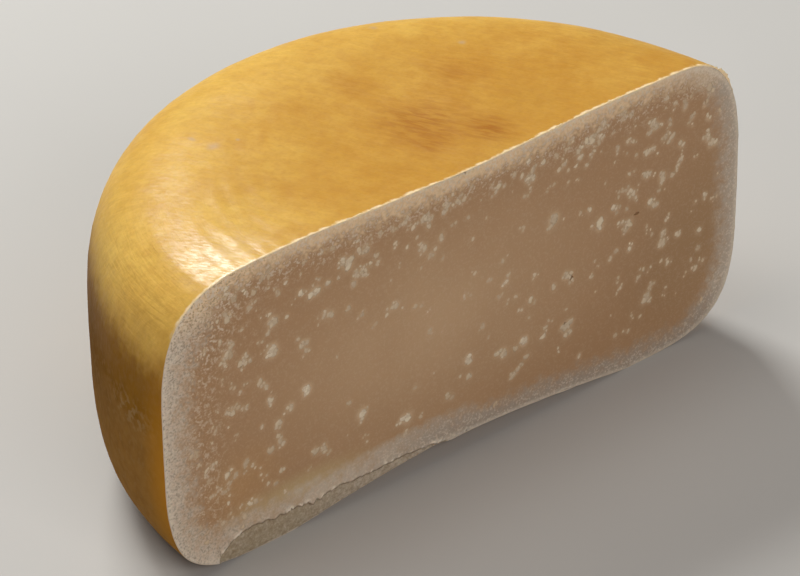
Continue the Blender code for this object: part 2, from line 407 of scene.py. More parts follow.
def mesh_object(name, points, faces, marks=None):
    """A new object in the row frame from wheel-frame points. Doubles are welded and faces turned outwards.

    Marks are numbers kept with the points, by name.
    """
    mesh = bpy.data.meshes.new(name)
    mesh.from_pydata((points + AXIS).tolist(), [], faces.tolist())
    for label, values in (marks or {}).items():
        add_mark(mesh, label, values)
    bm = bmesh.new()
    bm.from_mesh(mesh)
    bmesh.ops.remove_doubles(bm, verts=bm.verts, dist=0.0005 * MM)
    bmesh.ops.dissolve_degenerate(bm, edges=bm.edges, dist=0.0005 * MM)
    bmesh.ops.recalc_face_normals(bm, faces=bm.faces)
    bm.to_mesh(mesh)
    bm.free()
    mesh.shade_smooth()
    return new_object(name, mesh)


def mesh_points(obj):
    """The object's vertices as wheel-frame points."""
    flat = np.empty(len(obj.data.vertices) * 3, dtype=np.float32)
    obj.data.vertices.foreach_get("co", flat)
    return flat.reshape(-1, 3).astype(float) - AXIS


def add_mark(mesh, label, values):
    attribute = mesh.attributes.new(name=label, type="FLOAT", domain="POINT")
    attribute.data.foreach_set("value", values.astype(np.float32))


def dress(obj, material):
    """Gives the piece its finish and ties it to the cheese."""
    obj.data.materials.clear()
    obj.data.materials.append(material)
    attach(obj, BODY)


# Coat


def coat_columns(outline):
    """Distances along the outline: close together down to the ring, wide apart under the cheese."""
    along = arc_length(outline)
    ring = along[-1] - (WHEEL_RADIUS - FOOT_WIDTH)
    shown = np.linspace(0.0, ring, int(ring / COAT_TOP_SPACING))
    under = np.linspace(ring, along[-1], int((along[-1] - ring) / COAT_UNDER_SPACING))
    return np.concatenate([shown, under[1:]])


def crowded_turns(count):
    """Turns from 0 to half a circle, packed close at both ends: pi (s - k sin(2 pi s) / 2 pi)."""
    share = np.linspace(0.0, 1.0, count)
    return np.pi * (share - TURN_CROWDING * np.sin(2.0 * np.pi * share) / (2.0 * np.pi))


def coat_relief(points):
    """Long and short waves all over, and wrinkles round the wheel by the left shoulder: height x ripples.

    The wrinkles' ripples are taken on (radius, turn, height) and fade as exp(-(distance / reach)^2).
    """
    near = np.exp(-np.sum(((points - WRINKLE_CENTRE) / WRINKLE_REACH) ** 2, axis=-1))
    long_waves = WAVE_HEIGHT * ripples(points, WAVE_LENGTH, seed=21)
    short_waves = SHORT_WAVE_HEIGHT * ripples(points, SHORT_WAVE_LENGTH, seed=22)
    radius = np.hypot(points[..., 0], points[..., 1])
    turn = np.arctan2(points[..., 1], points[..., 0])
    rolled = np.stack([radius, turn * WRINKLE_TURN * MM, points[..., 2]], axis=-1)
    wrinkles = WRINKLE_HEIGHT * near * ripples(rolled, WRINKLE_LENGTH, seed=23)
    return long_waves + short_waves + wrinkles


def lip_raggedness(row):
    """Uneven 0 to 1.5 along the cut edge of the coat: sharp little tears, strongest in the named runs."""
    middle, reach = np.array(LIP_RUNS).T * MM
    runs = 0.35 + np.exp(-(((row[:, :1] - middle) / reach) ** 2)).sum(axis=1)
    torn = 0.25 + 0.8 * ripples(row, 5.5 * MM, seed=32) + 0.7 * ripples(row, 1.9 * MM, seed=34)
    return np.clip(runs, 0.0, 1.0) * np.clip(torn, 0.0, 1.6)


def flake_rise(points):
    """How far the torn flake at the right corner stands off: a bump that fades behind the cut."""
    place = (points[..., 0] - FLAKE_START) / FLAKE_LENGTH
    along = np.sin(np.pi * np.clip(place, 0.0, 1.0)) ** 0.8 * (points[..., 2] > 80.0 * MM)
    torn = np.clip(0.6 + 0.55 * ripples(points, 2.4 * MM, seed=33), 0.0, 1.4)
    return FLAKE_RISE * along * torn * np.exp(-points[..., 1] / FLAKE_DEPTH)


def make_coat(outline):
    """Closed shell: outer rows round the wheel, a lip over the cut at each end, and inner rows back.

    Every row runs from the top's middle to the underside's, so the rows close on themselves like the
    staves of a barrel, and the two ends of all rows fall on the poles.
    """
    section = outline_at(outline, coat_columns(outline))
    normals = outline_normals(section)
    turns = crowded_turns(COAT_TURN_ROWS)
    outer = turned(section, turns)
    outward = turned(normals, turns)
    inner = turned(pulled_in(section, COAT_THICKNESS), np.linspace(np.pi, 0.0, COAT_INNER_ROWS))
    relief = coat_relief(outer) * smooth_step((outer[..., 2] - 3.0 * MM) / (9.0 * MM))
    fade_pole = smooth_step(outer[..., 0] ** 2 / (4.0 * MM) ** 2 + outer[..., 1] ** 2 / (4.0 * MM) ** 2)
    flake = flake_rise(outer)
    outer = outer + outward * (relief * fade_pole + flake)[..., None]
    left_lip = lip_rows(outer[-1], outward[-1])
    right_lip = lip_rows(outer[0], outward[0])[::-1]
    points = np.concatenate([outer, left_lip, inner, right_lip, outer[:1]])
    height, width = points.shape[:2]
    cut_edge = np.zeros((height, width))
    cut_edge[: len(outer)] = 0.8 * smooth_step(flake / (0.4 * MM))
    cut_edge[len(outer) : len(outer) + len(left_lip)] = 1.0
    cut_edge[-1 - len(right_lip) : -1] = 1.0
    points = points.reshape(-1, 3)
    recess = chip_depth(points[:, 0], points[:, 2])
    points[:, 1] = np.where(recess > 0.0, np.maximum(points[:, 1], recess), points[:, 1])
    marks = {"cut_edge": cut_edge.reshape(-1)}
    return mesh_object("cheese_coat", aged(points), grid_quads(height, width), marks)


def lip_rows(edge, outward):
    """Three rows that carry the coat's cut edge forward, over and back in, in steps along its normal."""
    ragged = lip_raggedness(edge)[:, None]
    high = ramp(edge[:, 2:], *LIP_TOP_BAND)
    forward = np.array([0.0, -1.0, 0.0])
    proud = LIP_PROUD + LIP_RAGGED * ragged
    over = edge + outward * (LIP_RISE * ragged * high - 0.05 * MM) + forward * proud * 0.6
    crest = edge - outward * 0.25 * MM + forward * proud
    back = edge - outward * 0.55 * MM - forward * 0.2 * MM
    return np.stack([over, crest, back])


# Paste


def paste_columns(outline):
    """Radii of the columns right of the middle, evenly spaced along the upper outline."""
    upper = outline[: int(np.argmax(outline[:, 0])) + 1]
    length = arc_length(upper)[-1]
    lengths = np.linspace(0.0, length, int(length / PASTE_COLUMN_SPACING))
    return outline_at(upper, lengths)


def paste_face(outline):
    """Grid over the cut. Each column is upright and runs from the lower outline to the upper one.

    The rows are split at a height that follows the broken strip's ragged edge, so that the step falls
    between two rows: the lower rows are spread over the foot and the upper ones over the rest.
    """
    right = paste_columns(outline)
    widest = int(np.argmax(outline[:, 0]))
    lower = outline[widest:][::-1]
    bottom = np.interp(right[:, 0], lower[:, 0], lower[:, 1])
    bottom[-1] = right[-1, 1]
    x = np.concatenate([-right[:0:-1, 0], right[:, 0]])
    top = np.concatenate([right[:0:-1, 1], right[:, 1]])
    bottom = np.concatenate([bottom[:0:-1], bottom])
    plain = bottom + FOOT_BAND * (top - bottom) / (RIM_HEIGHT - bottom)
    reach = chip_reach(x)
    split = plain + (np.maximum(chip_edge_height(x), bottom + 0.3 * MM) - plain) * reach
    low_share = np.linspace(0.0, 1.0, PASTE_FOOT_ROWS)[:, None]
    low_rows = bottom + (split - 0.05 * MM * reach - bottom) * low_share
    high_share = np.linspace(0.0, 1.0, PASTE_UPPER_ROWS)[:, None]
    high_rows = split + (top - split) * high_share
    low_rows[-1] -= 0.02 * MM * (1.0 - reach) * (top - bottom) / RIM_HEIGHT
    z = np.concatenate([low_rows, high_rows])
    y = np.zeros_like(z)
    return np.stack([np.broadcast_to(x, z.shape), y, z], axis=-1)


def cut_relief(points):
    """Depth of the knife's soft waves, drawn out along the cut, and of fine crumbs: height x ripples."""
    flat = on_cut(points[..., 0], points[..., 2])
    waves = KNIFE_WAVE * ripples(flat * np.array([0.6, 1.0, 1.0]), KNIFE_LENGTH, seed=41)
    crumbs = FINE_CRUMB * ripples(flat, 3.0 * MM, seed=42)
    return waves + crumbs


def make_paste(outline):
    """Closed solid under the coat: the face of the cut, and its outline swung round behind it."""
    inset = pulled_in(outline, PASTE_INSET)
    face = paste_face(inset)
    rows, columns = face.shape[:2]
    middle = columns // 2
    half_loop = np.concatenate([face[-1, middle:], face[0, middle:][::-1]])[:, [0, 2]]
    back = turned(pulled_in(half_loop, PASTE_BACK_INSET), np.linspace(0.0, np.pi, PASTE_BACK_ROWS))
    back[0] = turned(half_loop, np.array([0.0]))[0]
    back[-1] = turned(half_loop, np.array([np.pi]))[0]
    points = np.concatenate([face.reshape(-1, 3), back.reshape(-1, 3)])
    back_quads = grid_quads(PASTE_BACK_ROWS, len(half_loop)) + rows * columns
    faces = np.concatenate([grid_quads(rows, columns), back_quads])
    edge = edge_distance(points, inset)
    x, z = points[:, 0], points[:, 2]
    relief = cut_relief(points) * smooth_step(edge / (3.0 * MM)) - chip_lip(x, z)
    recess = chip_depth(x, z)
    front = points[:, 1] < 1e-9
    points[:, 1] = np.where(front, relief + recess, np.maximum(points[:, 1], recess))
    return mesh_object("cheese_paste", aged(points), faces)


def edge_distance(points, outline):
    """Distance in the plane of the cut from each point to the nearest point of the outline."""
    both = np.concatenate([outline, outline * np.array([-1.0, 1.0])])[::3]
    flat = points[:, [0, 2]]
    nearest = np.full(len(flat), np.inf)
    for block in np.array_split(both, 16):
        gaps = flat[:, None, :] - block[None, :, :]
        nearest = np.minimum(nearest, np.sqrt((gaps**2).sum(axis=-1)).min(axis=1))
    return nearest


def hole_tool():
    """One mesh of rough balls that digs the cracked holes of the cut."""
    rng = np.random.default_rng(12)
    bm = bmesh.new()
    for x, z, width, height in HOLES:
        ball = bmesh.ops.create_icosphere(bm, subdivisions=3, radius=1.0)["verts"]
        for vertex in ball:
            rough = rng.uniform(0.85, 1.10)
            vertex.co.x = AXIS[0] + x * MM + vertex.co.x * width * MM * 0.5 * rough
            vertex.co.y = AXIS[1] + vertex.co.y * HOLE_DEPTH * rough
            vertex.co.z = AXIS[2] + z * MM + vertex.co.z * height * MM * 0.5 * rough
    mesh = bpy.data.meshes.new("hole_tool")
    bm.to_mesh(mesh)
    bm.free()
    return new_object("hole_tool", mesh)


def dig_holes(paste):
    """Cuts the rough balls out of the paste and keeps the result as its own mesh."""
    tool = hole_tool()
    boolean = paste.modifiers.new("holes", "BOOLEAN")
    boolean.operation = "DIFFERENCE"
    boolean.solver = "EXACT"
    boolean.object = tool
    evaluated = paste.evaluated_get(bpy.context.evaluated_depsgraph_get())
    dug = bpy.data.meshes.new_from_object(evaluated)
    paste.modifiers.clear()
    paste.data = dug
    bpy.data.objects.remove(tool, do_unlink=True)
    dug.shade_smooth()


# Crystals


def crystal_density(x, z):
    """Share of candidate places that grow a crystal: high under the top, to the right and at the left."""
    top_band = ramp(z, 80.0, 12.0)
    right = ramp(x, 50.0, 40.0)
    left = ramp(x, -70.0, -35.0)
    low_right = ramp(x, 60.0, 30.0) * ramp(z, 50.0, -20.0)
    return 0.12 + 0.62 * top_band + 0.26 * right + 0.30 * left - 0.20 * low_right


def scattered_seeds(rng):
    """Small groups anywhere on the cut, kept by the density rule, in the columns of CLUSTERS."""
    x = rng.uniform(-115.0, 116.0, SEED_TRIES)
    z = rng.uniform(13.0, 106.0, SEED_TRIES)
    kept = rng.random(SEED_TRIES) < crystal_density(x * MM, z * MM)
    x, z = x[kept], z[kept]
    count = len(x)
    length = rng.gamma(2.2, 0.55, count)
    tilt = rng.normal(45.0, 40.0, count)
    flecks = 1 + rng.poisson(1.1, count)
    glow = rng.beta(1.8, 4.6, count)
    return np.column_stack([x, z, length, tilt, flecks, glow])


def inside(x, z, outline, margin):
    """True where hypot(x, z - middle) is a margin less than the outline's reach in the same direction."""
    height = outline[:, 1] - WIDEST_HEIGHT
    turn = np.arctan2(height, outline[:, 0])
    order = np.argsort(turn)
    reach = np.hypot(outline[:, 0], height)[order]
    limit = np.interp(np.arctan2(z - WIDEST_HEIGHT, np.abs(x)), turn[order], reach)
    return np.hypot(x, z - WIDEST_HEIGHT) < limit - margin


def crystal_flecks(outline, rng):
    """x, z, width in metres and brightness of every fleck. They lie along their group's line."""
    groups = np.concatenate([np.array(CLUSTERS), scattered_seeds(rng)])
    fill = np.where(np.arange(len(groups)) < len(CLUSTERS), CLUSTER_FILL, 1.0)
    flecks = np.round(groups[:, 4] * fill)
    owner = np.repeat(np.arange(len(groups)), flecks.astype(int))
    x, z, length, tilt, _, glow = groups[owner].T
    along = rng.uniform(-0.55, 0.55, len(owner)) * length
    turn = np.radians(tilt)
    x = x + along * np.cos(turn) + rng.normal(0.0, CLUSTER_SPREAD, len(owner))
    z = z + along * np.sin(turn) + rng.normal(0.0, CLUSTER_SPREAD, len(owner))
    width = rng.lognormal(math.log(FLECK_WIDTH), FLECK_WIDTH_SPREAD, len(owner)) * (0.8 + 0.4 * glow)
    bright = np.clip(glow * rng.uniform(0.45, 1.05, len(owner)), 0.0, 1.0)
    kept = inside(x * MM, z * MM, outline, 0.55 * rim_width(x * MM, z * MM))
    return x[kept] * MM, z[kept] * MM, width[kept] * MM, bright[kept]


def make_crystals(flecks, rng):
    """Low irregular domes: a centre and an inner ring proud of the cut, an outer ring and a point in it."""
    x, z, width, bright = flecks
    count = len(x)
    angle = np.linspace(0.0, 2.0 * np.pi, CRYSTAL_SIDES, endpoint=False)[None, :]
    tilt = rng.normal(math.radians(50.0), 0.5, count)[:, None]
    longer = rng.uniform(1.0, 1.6, count)[:, None]
    uneven = rng.uniform(0.68, 1.25, (count, CRYSTAL_SIDES))
    across = 0.5 * width[:, None] * uneven * np.cos(angle) * longer
    along = 0.5 * width[:, None] * uneven * np.sin(angle)
    ring_x = across * np.cos(tilt) - along * np.sin(tilt)
    ring_z = across * np.sin(tilt) + along * np.cos(tilt)
    rows = []
    for scale, depth in CRYSTAL_RINGS:
        ring = on_cut(x[:, None] + ring_x * scale, z[:, None] + ring_z * scale)
        ring[..., 1] = cut_relief(ring) + depth * MM
        rows.append(ring)
    centre = rows[0][:, :1]
    behind = centre + np.array([0.0, CRYSTAL_ROOT, 0.0])
    points = np.concatenate([centre, rows[1], rows[2], behind], axis=1)
    per = points.shape[1]
    faces = dome_faces(CRYSTAL_SIDES) + (np.arange(count) * per)[:, None, None]
    fade = np.concatenate([[1.0], np.full(CRYSTAL_SIDES, 0.75), np.zeros(CRYSTAL_SIDES + 1)])
    marks = {"fade": np.tile(fade, count), "bright": np.repeat(bright, per)}
    return mesh_object("cheese_crystals", aged(points.reshape(-1, 3)), faces.reshape(-1, 3), marks)


def dome_faces(sides):
    """Triangles of one dome: centre 0, inner ring from 1, outer ring after it, the point behind last."""
    inner = 1 + np.arange(sides)
    inner_next = 1 + (np.arange(sides) + 1) % sides
    outer, outer_next = inner + sides, inner_next + sides
    centre = np.zeros(sides, dtype=int)
    last = np.full(sides, 2 * sides + 1)
    cap = np.column_stack([centre, inner, inner_next])
    slope_one = np.column_stack([inner, outer, outer_next])
    slope_two = np.column_stack([inner, outer_next, inner_next])
    base = np.column_stack([outer, last, outer_next])
    return np.concatenate([cap, slope_one, slope_two, base])


# Marks on the paste


def rim_width(x, z):
    """Width of the dry pale zone: wide at the left, the right and the foot, narrow along the top."""
    left = ramp(x, -92.0, -22.0)
    right = ramp(x, 96.0, 20.0)
    upper_left = left * ramp(z, 74.0, 22.0)
    lower_right = right * ramp(z, 34.0, -16.0)
    over_strip = ramp(z, 22.0, -6.0) * ramp(x, 12.0, -30.0) * (1.0 - left)
    foot = ramp(z, 24.0, -12.0) * (1.0 - left)
    base = 7.6 + 5.4 * left + 4.4 * right + 2.4 * foot
    return (base + 4.0 * upper_left + 3.0 * lower_right + 14.0 * over_strip) * MM


def halos(points, flecks):
    """Milky glow about the crystals: the sum of soft bells, one a fleck, 1 at most."""
    x, z, width, bright = flecks
    glow = np.zeros(len(points))
    for part in np.array_split(np.arange(len(x)), 40):
        gap_x = points[:, :1] - x[part]
        gap_z = points[:, 2:] - z[part]
        reach = (gap_x**2 + gap_z**2) / (HALO_REACH * width[part]) ** 2
        glow += ((0.4 + 0.6 * bright[part]) * np.exp(-reach)).sum(axis=1)
    return np.clip(glow, 0.0, 1.0)


def mark_paste(paste, outline, flecks):
    """Stores numbers with the paste's points.

    Share of the dry zone's width from the edge, mottling, broken strip, the crystals' glow, and crumbs
    above the strip's edge (over 0) or a painted shadow line under it (below 0).
    """
    points = mesh_points(paste)
    x, z = points[:, 0], points[:, 2]
    left = ramp(x, -96.0, -14.0)
    top = ramp(z, 95.0, 9.0)
    corner = np.exp(-(((x / MM + 104.0) / 13.0) ** 2) - ((z / MM - 94.0) / 13.0) ** 2)
    add_mark(paste.data, "rim", edge_distance(points, outline) / rim_width(x, z))
    add_mark(paste.data, "mottled", np.clip(np.maximum(0.5 * left, 0.7 * top) + 0.7 * corner, 0.0, 1.0))
    add_mark(paste.data, "broken", (chip_depth(x, z) > 0.0).astype(float))
    add_mark(paste.data, "milky", halos(points, flecks))
    below = np.clip(chip_edge_height(x) - z, 0.0, None)
    # Painted shadow: a dark line just under the strip's ragged edge
    painted_shadow_line = (below > 0.0) * np.exp(-below / SHADOW_LINE_HEIGHT) * chip_reach(x)
    add_mark(paste.data, "crumbs", chip_lip(x, z) / CHIP_LIP - painted_shadow_line)


# Material helpers


def colour(red, green, blue):
    """Linear colour with full alpha of a colour given in everyday 0 to 255 steps."""
    share = np.array([red, green, blue]) / 255.0
    linear = np.where(share <= 0.04045, share / 12.92, ((share + 0.055) / 1.055) ** 2.4)
    return (*linear.tolist(), 1.0)


def feed(tree, socket, value):
    """Links the input socket to another node's output, or sets it to a plain value."""
    if isinstance(value, bpy.types.NodeSocket):
        tree.links.new(value, socket)
    else:
        socket.default_value = value


def add_node(tree, kind, inputs=None, **settings):
    """Adds a shader node of a kind, sets its settings, and feeds each named or numbered input."""
    node = tree.nodes.new("ShaderNode" + kind)
    for key, value in settings.items():
        setattr(node, key, value)
    for key, value in (inputs or {}).items():
        feed(tree, node.inputs[key], value)
    return node


def maths(tree, operation, first, second=0.0, clamp=False):
    node = add_node(tree, "Math", {0: first, 1: second}, operation=operation, use_clamp=clamp)
    return node.outputs[0]


def plus(tree, first, second):
    return maths(tree, "ADD", first, second)


def times(tree, first, second):
    return maths(tree, "MULTIPLY", first, second)


def swing(tree, value, size):
    """(value - 1/2) size, which turns a pattern from 0 to 1 into one about 0."""
    return times(tree, maths(tree, "SUBTRACT", value, 0.5), size)


def vector_maths(tree, operation, first, second=(0.0, 0.0, 0.0)):
    node = add_node(tree, "VectorMath", {0: first, 1: second}, operation=operation)
    return node.outputs["Value" if operation == "LENGTH" else "Vector"]


def split_up(tree, vector):
    """The vector's x, y and z."""
    return add_node(tree, "SeparateXYZ", {0: vector}).outputs


def joined(tree, x, y, z=0.0):
    return add_node(tree, "CombineXYZ", {0: x, 1: y, 2: z}).outputs[0]


def between(tree, value, low, high, to_low=0.0, to_high=1.0):
    """Smooth S from to_low at low to to_high at high."""
    inputs = {"Value": value, "From Min": low, "From Max": high, "To Min": to_low, "To Max": to_high}
    node = add_node(tree, "MapRange", inputs, interpolation_type="SMOOTHSTEP")
    return node.outputs["Result"]


def mixed(tree, factor, first, second):
    """Colour that goes from first at factor 0 to second at factor 1."""
    inputs = {0: factor, 6: first, 7: second}
    return add_node(tree, "Mix", inputs, data_type="RGBA", clamp_factor=True).outputs[2]


def mark(tree, label):
    """A number kept with the points of the mesh."""
    return add_node(tree, "Attribute", attribute_name=label).outputs["Fac"]


def bump(tree, height, strength, distance):
    """Normal of a fine relief whose height 1 stands for a distance in millimetres."""
    inputs = {"Height": height, "Strength": strength, "Distance": distance * MM}
    return add_node(tree, "Bump", inputs).outputs[0]


def row_point(x, y, z):
    """A wheel-frame place in millimetres as a row-frame point in metres."""
    return tuple((AXIS + np.array([x, y, z]) * MM).tolist())


# Node groups


def new_group(name, vectors, numbers):
    """An empty node group with vector inputs, number inputs with their defaults, and one number output."""
    tree = bpy.data.node_groups.new(name, "ShaderNodeTree")
    for label in vectors:
        tree.interface.new_socket(label, in_out="INPUT", socket_type="NodeSocketVector")
    for label, default in numbers.items():
        socket = tree.interface.new_socket(label, in_out="INPUT", socket_type="NodeSocketFloat")
        socket.default_value = default
    tree.interface.new_socket("Value", in_out="OUTPUT", socket_type="NodeSocketFloat")
    start = tree.nodes.new("NodeGroupInput")
    end = tree.nodes.new("NodeGroupOutput")
    return tree, start.outputs, end.inputs


def end_in_noise(tree, start, end, inputs):
    """Feeds the group's output with noise whose contrast is stretched about one half."""
    noise = add_node(tree, "TexNoise", {"Detail": 3.0, **inputs})
    stretched = swing(tree, noise.outputs["Fac"], start["Contrast"])
    tree.links.new(maths(tree, "ADD", stretched, 0.5, clamp=True), end[0])
    return tree


def make_grain_group():
    """Rough grain: noise of a given grain size."""
    tree, start, end = new_group("rough_grain", ["Vector"], {"Grain": 1.0 * MM, "Contrast": 2.0})
    scale = maths(tree, "DIVIDE", 1.0, start["Grain"])
    return end_in_noise(tree, start, end, {"Vector": start["Vector"], "Scale": scale})


def make_streak_group():
    """Brush or knife streaks: noise squeezed across the stroke and drawn out along it and upright."""
    numbers = {"Turn": 0.0, "Width": 1.0 * MM, "Stretch": 12.0, "Contrast": 2.0}
    tree, start, end = new_group("streaks", ["Vector"], numbers)
    inputs = {"Vector": start["Vector"], "Angle": start["Turn"]}
    rotated = add_node(tree, "VectorRotate", inputs, rotation_type="Z_AXIS").outputs[0]
    along = split_up(tree, rotated)
    length = times(tree, start["Width"], start["Stretch"])
    x = maths(tree, "DIVIDE", along[0], length)
    y = maths(tree, "DIVIDE", along[1], start["Width"])
    z = maths(tree, "DIVIDE", along[2], length)
    ragged = {"Vector": joined(tree, x, y, z), "Scale": 1.0, "Distortion": 0.7}
    return end_in_noise(tree, start, end, ragged)


def make_ring_group():
    """Fine lines round the wheel: noise on (radius, turn, height), drawn out along the turn."""
    numbers = {"Width": 1.0 * MM, "Stretch": 8.0, "Contrast": 2.0}
    tree, start, end = new_group("ring_lines", ["Vector"], numbers)
    away = split_up(tree, vector_maths(tree, "SUBTRACT", start["Vector"], row_point(0.0, 0.0, 0.0)))
    radius = vector_maths(tree, "LENGTH", joined(tree, away[0], away[1]))
    round_length = times(tree, maths(tree, "ARCTAN2", away[1], away[0]), float(WHEEL_RADIUS))
    x = maths(tree, "DIVIDE", radius, start["Width"])
    y = maths(tree, "DIVIDE", round_length, times(tree, start["Width"], start["Stretch"]))
    z = maths(tree, "DIVIDE", away[2], start["Width"])
    ragged = {"Vector": joined(tree, x, y, z), "Scale": 1.0, "Distortion": 0.5}
    return end_in_noise(tree, start, end, ragged)


def make_spot_group():
    """Soft spot: 1 at its centre, falling smoothly to 0 at its radii."""
    tree, start, end = new_group("soft_spot", ["Vector", "Centre", "Radii"], {})
    away = vector_maths(tree, "SUBTRACT", start["Vector"], start["Centre"])
    length = vector_maths(tree, "LENGTH", vector_maths(tree, "DIVIDE", away, start["Radii"]))
    tree.links.new(between(tree, length, 1.0, 0.0), end[0])
    return tree


GRAIN = make_grain_group()
STREAKS = make_streak_group()
RINGS = make_ring_group()
SOFT_SPOT = make_spot_group()


def use_group(tree, group, inputs):
    return add_node(tree, "Group", inputs, node_tree=group).outputs[0]


def grain(tree, place, size, contrast):
    """Rough grain of a size in millimetres."""
    return use_group(tree, GRAIN, {"Vector": place, "Grain": size * MM, "Contrast": contrast})


def brush_lines(tree, place, width, stretch):
    """Brush lines of a width in millimetres, stretch times as long."""
    inputs = {"Vector": place, "Turn": BRUSH_TURN, "Width": width * MM, "Stretch": stretch, "Contrast": 2.4}
    return use_group(tree, STREAKS, inputs)


def spot(tree, place, centre, radii):
    """A soft spot placed by wheel-frame millimetres."""
    inputs = {"Vector": place, "Centre": row_point(*centre), "Radii": tuple(r * MM for r in radii)}
    return use_group(tree, SOFT_SPOT, inputs)


def patched(tree, place, base, tone, centre, radii, strength):
    """The base with a soft spot of the tone, at full strength in its middle."""
    return mixed(tree, times(tree, spot(tree, place, centre, radii), strength), base, tone)


# Colours

COAT_OCHRE = colour(206, 153, 66)
COAT_LEMON = colour(232, 186, 92)
# Painted light: brighter yellow for the lit left shoulder
COAT_PAINTED_LIGHT = colour(255, 212, 112)
COAT_SMUDGE = colour(172, 110, 40)
# Painted shade: amber for the side below the lit top
COAT_SHADE_AMBER = colour(152, 104, 28)
# Painted shade: dark umber for the shaded lower left of the side
COAT_SHADE_UMBER = colour(116, 78, 30)
# Painted shade: dull brown for the lower side
COAT_SHADE_DULL = colour(162, 117, 58)
# Painted glow: saturated orange where light shines through the coat by the cut
COAT_GLOW_ORANGE = colour(192, 130, 38)
COAT_SCUFF = colour(184, 152, 108)
COAT_SCAR = colour(196, 162, 122)
# Pale rind cream brightened into a painted highlight of the lit top edge
COAT_EDGE_AND_HIGHLIGHT = colour(255, 226, 180)
COAT_BACK = colour(196, 142, 56)
PASTE_MIDDLE = colour(202, 166, 128)
PASTE_OUTER = colour(178, 138, 99)
PASTE_BROWN = colour(162, 126, 86)
RIND_CREAM = colour(236, 203, 162)
RIND_PALE = colour(210, 192, 171)
RIND_FROST = colour(236, 219, 197)
RIND_DARK = colour(124, 100, 74)
RIND_GREY = colour(172, 155, 138)
STAIN_ORANGE = colour(190, 146, 98)
STAIN_GREEN = colour(204, 178, 132)
CHIP_GREY = colour(166, 147, 118)
CHIP_PALE = colour(188, 171, 150)
# Painted shadow under the broken strip's ragged edge
CHIP_SHADOW_LINE = colour(112, 88, 60)
CRYSTAL_DULL = colour(204, 174, 140)
CRYSTAL_BRIGHT = colour(255, 234, 202)
MILKY = colour(230, 202, 168)
FLOOR_PALE = colour(200, 197, 192)
FLOOR_DIM = colour(190, 187, 182)

# Soft patches of colour: tone, centre and radii in wheel-frame millimetres, strength
# Painted light on the left shoulder
PAINTED_LIGHT_PATCH = (COAT_PAINTED_LIGHT, (-106.0, 54.0, 98.0), (26.0, 40.0, 26.0), 0.8)
# Painted shade on the lower left end of the coat
PAINTED_SHADE_PATCH = (COAT_SHADE_UMBER, (-108.0, 66.0, 64.0), (44.0, 58.0, 54.0), 1.0)
# Painted glow of light through the coat, low on the side by the cut
PAINTED_GLOW_BY_CUT = (COAT_GLOW_ORANGE, (-122.0, 0.0, 46.0), (40.0, 15.0, 56.0), 0.9)
BROWN_PASTE = (PASTE_BROWN, (112.0, 0.0, 40.0), (62.0, 400.0, 58.0), 0.85)
ORANGE_STAIN = (STAIN_ORANGE, (-95.0, 0.0, 29.0), (24.0, 400.0, 20.0), 0.75)
GREEN_STAIN = (STAIN_GREEN, (-72.0, 0.0, 17.0), (42.0, 400.0, 9.0), 0.7)

# Soft spots that limit a pattern: centre and radii in wheel-frame millimetres
PASTE_HEART = ((-14.0, 0.0, 56.0), (108.0, 400.0, 60.0))
SCUFFED_SPOT = ((-122.0, 20.0, 61.0), (20.0, 24.0, 9.0))
RINGED_SPOT = ((-98.0, 26.0, 100.0), (48.0, 56.0, 46.0))
GLOSSY_SPOT = ((-92.0, 6.0, 104.0), (24.0, 26.0, 24.0))

# Brown smudges on the top: (x, y, reach in x, reach in y, strength)
SMUDGES = (
    (9.0, 32.0, 26.0, 26.0, 0.85),
    (23.0, 14.0, 13.0, 15.0, 0.95),
    (2.0, 20.0, 12.0, 9.0, 0.6),
    (36.0, 49.0, 20.0, 24.0, 0.45),
    (5.0, 67.0, 10.0, 14.0, 0.45),
    (92.0, 34.0, 62.0, 62.0, 0.18),
)

# Small pale scars on the top: (x, y, reach in x, reach in y)
SCARS = (
    (-54.8, 63.2, 4.0, 3.0),
    (-57.1, 71.7, 1.4, 3.0),
    (52.6, 63.6, 2.2, 2.2),
    (37.5, 93.5, 2.0, 3.4),
    (-46.0, 61.3, 1.2, 1.2),
)


# Finishes


def new_material(name):
    material = bpy.data.materials.new(name)
    material.use_nodes = True
    tree = material.node_tree
    return material, tree, add_node(tree, "TexCoord").outputs["Object"]


def finished(material, inputs):
    """The material, with each named input of its shader linked or set."""
    shader = material.node_tree.nodes["Principled BSDF"]
    for label, value in inputs.items():
        feed(material.node_tree, shader.inputs[label], value)
    return material


def coat_top(tree, place, brush, mottle):
    """Lemon round the shoulder with painted light on the left shoulder, ochre in the middle, smudges drawn
    out along the brush, pale scars.
    """
    away = vector_maths(tree, "SUBTRACT", place, row_point(20.0, 0.0, 0.0))
    radius = vector_maths(tree, "LENGTH", vector_maths(tree, "MULTIPLY", away, (1.0, 1.0, 0.0)))
    outer = between(tree, radius, 58.0 * MM, 112.0 * MM, 0.05, 0.95)
    lemon = plus(tree, outer, swing(tree, grain(tree, place, 20.0, 2.2), 0.7))
    # Painted light: a brighter patch on the left shoulder
    base = patched(tree, place, mixed(tree, lemon, COAT_OCHRE, COAT_LEMON), *PAINTED_LIGHT_PATCH)
    drawn = between(tree, brush, 0.25, 0.85, 0.50, 1.0)
    for x, y, reach_x, reach_y, strength in SMUDGES:
        smudge = times(tree, spot(tree, place, (x, y, 112.0), (reach_x, reach_y, 30.0)), drawn)
        base = mixed(tree, times(tree, smudge, strength), base, COAT_SMUDGE)
    base = mixed(tree, times(tree, brush, 0.16), base, COAT_SMUDGE)
    base = mixed(tree, between(tree, mottle, 0.2, 0.9, 0.0, 0.15), base, COAT_SMUDGE)
    specks = grain(tree, place, 1.3, 2.8)
    base = mixed(tree, between(tree, specks, 0.35, 1.0, 0.0, 0.11), base, COAT_SMUDGE)
    for x, y, reach_x, reach_y in SCARS:
        base = patched(tree, place, base, COAT_SCAR, (x, y, 112.0), (reach_x, reach_y, 20.0), 0.7)
    return base


